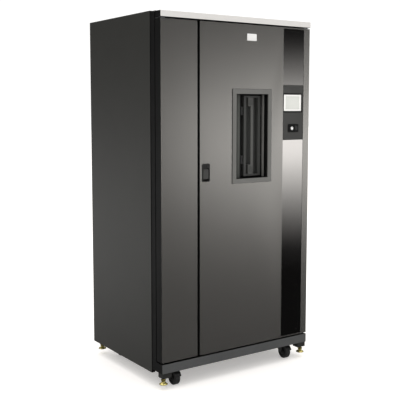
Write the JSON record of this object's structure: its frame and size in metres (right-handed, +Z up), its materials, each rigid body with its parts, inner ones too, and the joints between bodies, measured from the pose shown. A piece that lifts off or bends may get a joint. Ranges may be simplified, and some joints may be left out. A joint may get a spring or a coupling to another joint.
{
  "type": "data tape library",
  "caption": "Free-standing automated tape library: castor-mounted cabinet with hinged doors, a pull-out cartridge load port, operator panel and an internal picking robot.",
  "frame": {"origin": "on the floor, under the centre of the cabinet's width and depth", "axes": "+Z up, -Y out of the front doors, +X to the right when facing the front doors"},
  "size_m": [0.972, 0.762, 1.905],
  "materials": {
    "frame_black": "satin powder coat",
    "panel_grey": "fine-textured satin powder coat",
    "door_metal": "satin metallic paint over sheet steel",
    "door_black": "satin black coat",
    "plinth_grey": "satin powder coat",
    "trim_silver": "light silver satin paint",
    "gloss_black": "mirror-gloss black",
    "panel_matte": "fine-grain moulded plastic",
    "bezel_grey": "satin moulded plastic",
    "trim_black": "satin black moulded plastic",
    "screen": "unlit liquid-crystal screen",
    "drawer_grey": "moulded plastic",
    "cell_plastic": "moulded plastic",
    "cartridge_black": "moulded plastic",
    "drive_black": "moulded front on a sheet case",
    "zinc_steel": "zinc-plated sheet steel",
    "bare_aluminium": "anodised extrusion",
    "dark_aluminium": "black anodised",
    "finger_bronze": "satin bronze",
    "lock_nickel": "satin nickel plate",
    "castor_black": "black stamped steel",
    "castor_tread": "hard black rubber",
    "yellow_zinc": "yellow zinc plate",
    "badge_plain": "plain satin plate"
  },
  "bodies": {
    "cabinet": {"base_frame": "frame_black", "plinth_skirt": "plinth_grey", "corner_posts": "frame_black", "top_rails": "frame_black", "front_mullion": "frame_black", "side_panel_left": "panel_grey", "side_panel_right": "panel_grey", "roof_panel": "frame_black", "top_trim": "trim_silver", "pins_and_strikes": "zinc_steel", "storage_columns": "cell_plastic", "tape_cartridges": "cartridge_black", "drive_rack": "zinc_steel", "tape_drives": "drive_black", "robot_rails": "bare_aluminium", "electronics_tower": "zinc_steel", "power_supplies": "bare_aluminium", "controller_chassis": "bare_aluminium", "castor_plates": "castor_black"},
    "main_door": {"main_door_skin": "door_metal", "main_door_frame": "door_black", "gloss_strips": "gloss_black", "panel_housing": "panel_matte", "lcd_bezel": "trim_black", "lcd_screen": "screen", "key_plate": "trim_black", "port_bezel": "bezel_grey", "port_housing": "trim_black", "drawer_slides": "zinc_steel", "latch_dish": "trim_black", "badge_plate": "badge_plain"},
    "port_drawer": {"drawer_front": "drawer_grey", "drawer_handle": "drawer_grey", "drawer_magazine": "cell_plastic", "drawer_cartridges": "cartridge_black"},
    "door_latch": {"latch_paddle": "trim_black"},
    "door_lock": {"lock_cylinder": "trim_black"},
    "key_switch": {"key_core": "lock_nickel"},
    "standby_key": {"standby_button": "trim_black"},
    "side_leaf": {"side_door_skin": "door_metal", "side_door_frame": "door_black"},
    "rear_leaf": {"rear_door": "frame_black"},
    "rear_catch": {"rear_latch": "trim_black"},
    "mast": {"mast_column": "bare_aluminium", "mast_trucks": "dark_aluminium"},
    "lift": {"lift_carriage": "dark_aluminium"},
    "picker": {"picker_turntable": "bare_aluminium"},
    "gripper": {"gripper_block": "dark_aluminium"},
    "finger_left": {"gripper_finger_left": "finger_bronze"},
    "finger_right": {"gripper_finger_right": "finger_bronze"},
    "swivel_fl": {"castor_fork_fl": "castor_black"},
    "swivel_fr": {"castor_fork_fr": "castor_black"},
    "wheel_fl": {"castor_wheel_fl": "castor_tread"},
    "wheel_fr": {"castor_wheel_fr": "castor_tread"},
    "wheel_rl": {"castor_wheel_rl": "castor_tread"},
    "wheel_rr": {"castor_wheel_rr": "castor_tread"},
    "level_fl": {"foot_fl": "yellow_zinc"},
    "level_fr": {"foot_fr": "yellow_zinc"},
    "level_rl": {"foot_rl": "yellow_zinc"},
    "level_rr": {"foot_rr": "yellow_zinc"}
  },
  "joints": [
    {"name": "main_door_hinge", "type": "hinge", "parent": "cabinet", "child": "main_door", "pos_m": [0.466, -0.351, 1], "axis": [0, 0, 1], "range_deg": [0, 110]},
    {"name": "side_leaf_hinge", "type": "hinge", "parent": "cabinet", "child": "side_leaf", "pos_m": [-0.466, -0.351, 1], "axis": [0, 0, -1], "range_deg": [0, 110]},
    {"name": "rear_door_hinge", "type": "hinge", "parent": "cabinet", "child": "rear_leaf", "pos_m": [0.44, 0.367, 1], "axis": [0, 0, -1], "range_deg": [0, 120]},
    {"name": "port_drawer_slide", "type": "slide", "parent": "main_door", "child": "port_drawer", "axis": [0, -1, 0], "range_m": [0, 0.15]},
    {"name": "latch_pull", "type": "hinge", "parent": "main_door", "child": "door_latch", "pos_m": [-0.2165, -0.371, 1.109], "axis": [-1, 0, 0], "range_deg": [0, 40], "stiffness_Nm_per_rad": 0.05, "springref_deg": -17.19},
    {"name": "lock_turn", "type": "hinge", "parent": "main_door", "child": "door_lock", "pos_m": [-0.2165, -0.35, 1.1315], "axis": [0, 1, 0], "range_deg": [0, 90]},
    {"name": "key_turn", "type": "hinge", "parent": "main_door", "child": "key_switch", "pos_m": [0.359, -0.37, 1.317], "axis": [0, 1, 0], "range_deg": [0, 90]},
    {"name": "standby_press", "type": "slide", "parent": "main_door", "child": "standby_key", "axis": [0, 1, 0], "range_m": [0, 0.002], "stiffness_N_per_m": 900, "springref_m": -0.0005},
    {"name": "rear_catch_turn", "type": "hinge", "parent": "rear_leaf", "child": "rear_catch", "pos_m": [-0.426, 0.367, 1], "axis": [0, 1, 0], "range_deg": [0, 90]},
    {"name": "mast_travel", "type": "slide", "parent": "cabinet", "child": "mast", "axis": [1, 0, 0], "range_m": [-0.14, 0.295]},
    {"name": "mast_lift", "type": "slide", "parent": "mast", "child": "lift", "axis": [0, 0, 1], "range_m": [-0.672, 0.768]},
    {"name": "picker_turn", "type": "hinge", "parent": "lift", "child": "picker", "pos_m": [0.05, -0.066, 0.92], "axis": [0, 0, 1], "range_deg": [-180, 0]},
    {"name": "gripper_reach", "type": "slide", "parent": "picker", "child": "gripper", "axis": [0, 1, 0], "range_m": [0, 0.1595]},
    {"name": "finger_left_close", "type": "slide", "parent": "gripper", "child": "finger_left", "axis": [1, 0, 0], "range_m": [0, 0.002]},
    {"name": "finger_right_close", "type": "slide", "parent": "gripper", "child": "finger_right", "axis": [-1, 0, 0], "range_m": [0, 0.002]},
    {"name": "castor_swivel_fl", "type": "hinge", "parent": "cabinet", "child": "swivel_fl", "pos_m": [-0.375, -0.277, 0.09], "axis": [0, 0, 1], "continuous": true},
    {"name": "wheel_roll_fl", "type": "hinge", "parent": "swivel_fl", "child": "wheel_fl", "pos_m": [-0.375, -0.317, 0.038], "axis": [1, 0, 0], "continuous": true},
    {"name": "castor_swivel_fr", "type": "hinge", "parent": "cabinet", "child": "swivel_fr", "pos_m": [0.375, -0.277, 0.09], "axis": [0, 0, 1], "continuous": true},
    {"name": "wheel_roll_fr", "type": "hinge", "parent": "swivel_fr", "child": "wheel_fr", "pos_m": [0.375, -0.317, 0.038], "axis": [1, 0, 0], "continuous": true},
    {"name": "wheel_roll_rl", "type": "hinge", "parent": "cabinet", "child": "wheel_rl", "pos_m": [-0.375, 0.25, 0.038], "axis": [1, 0, 0], "continuous": true},
    {"name": "wheel_roll_rr", "type": "hinge", "parent": "cabinet", "child": "wheel_rr", "pos_m": [0.375, 0.25, 0.038], "axis": [1, 0, 0], "continuous": true},
    {"name": "foot_screw_fl", "type": "slide", "parent": "cabinet", "child": "level_fl", "axis": [0, 0, -1], "range_m": [0, 0.03]},
    {"name": "foot_screw_fr", "type": "slide", "parent": "cabinet", "child": "level_fr", "axis": [0, 0, -1], "range_m": [0, 0.03]},
    {"name": "foot_screw_rl", "type": "slide", "parent": "cabinet", "child": "level_rl", "axis": [0, 0, -1], "range_m": [0, 0.03]},
    {"name": "foot_screw_rr", "type": "slide", "parent": "cabinet", "child": "level_rr", "axis": [0, 0, -1], "range_m": [0, 0.03]}
  ],
  "couplings": [
    {"joint": "finger_right_close", "follows": "finger_left_close", "ratio": 1}
  ]
}
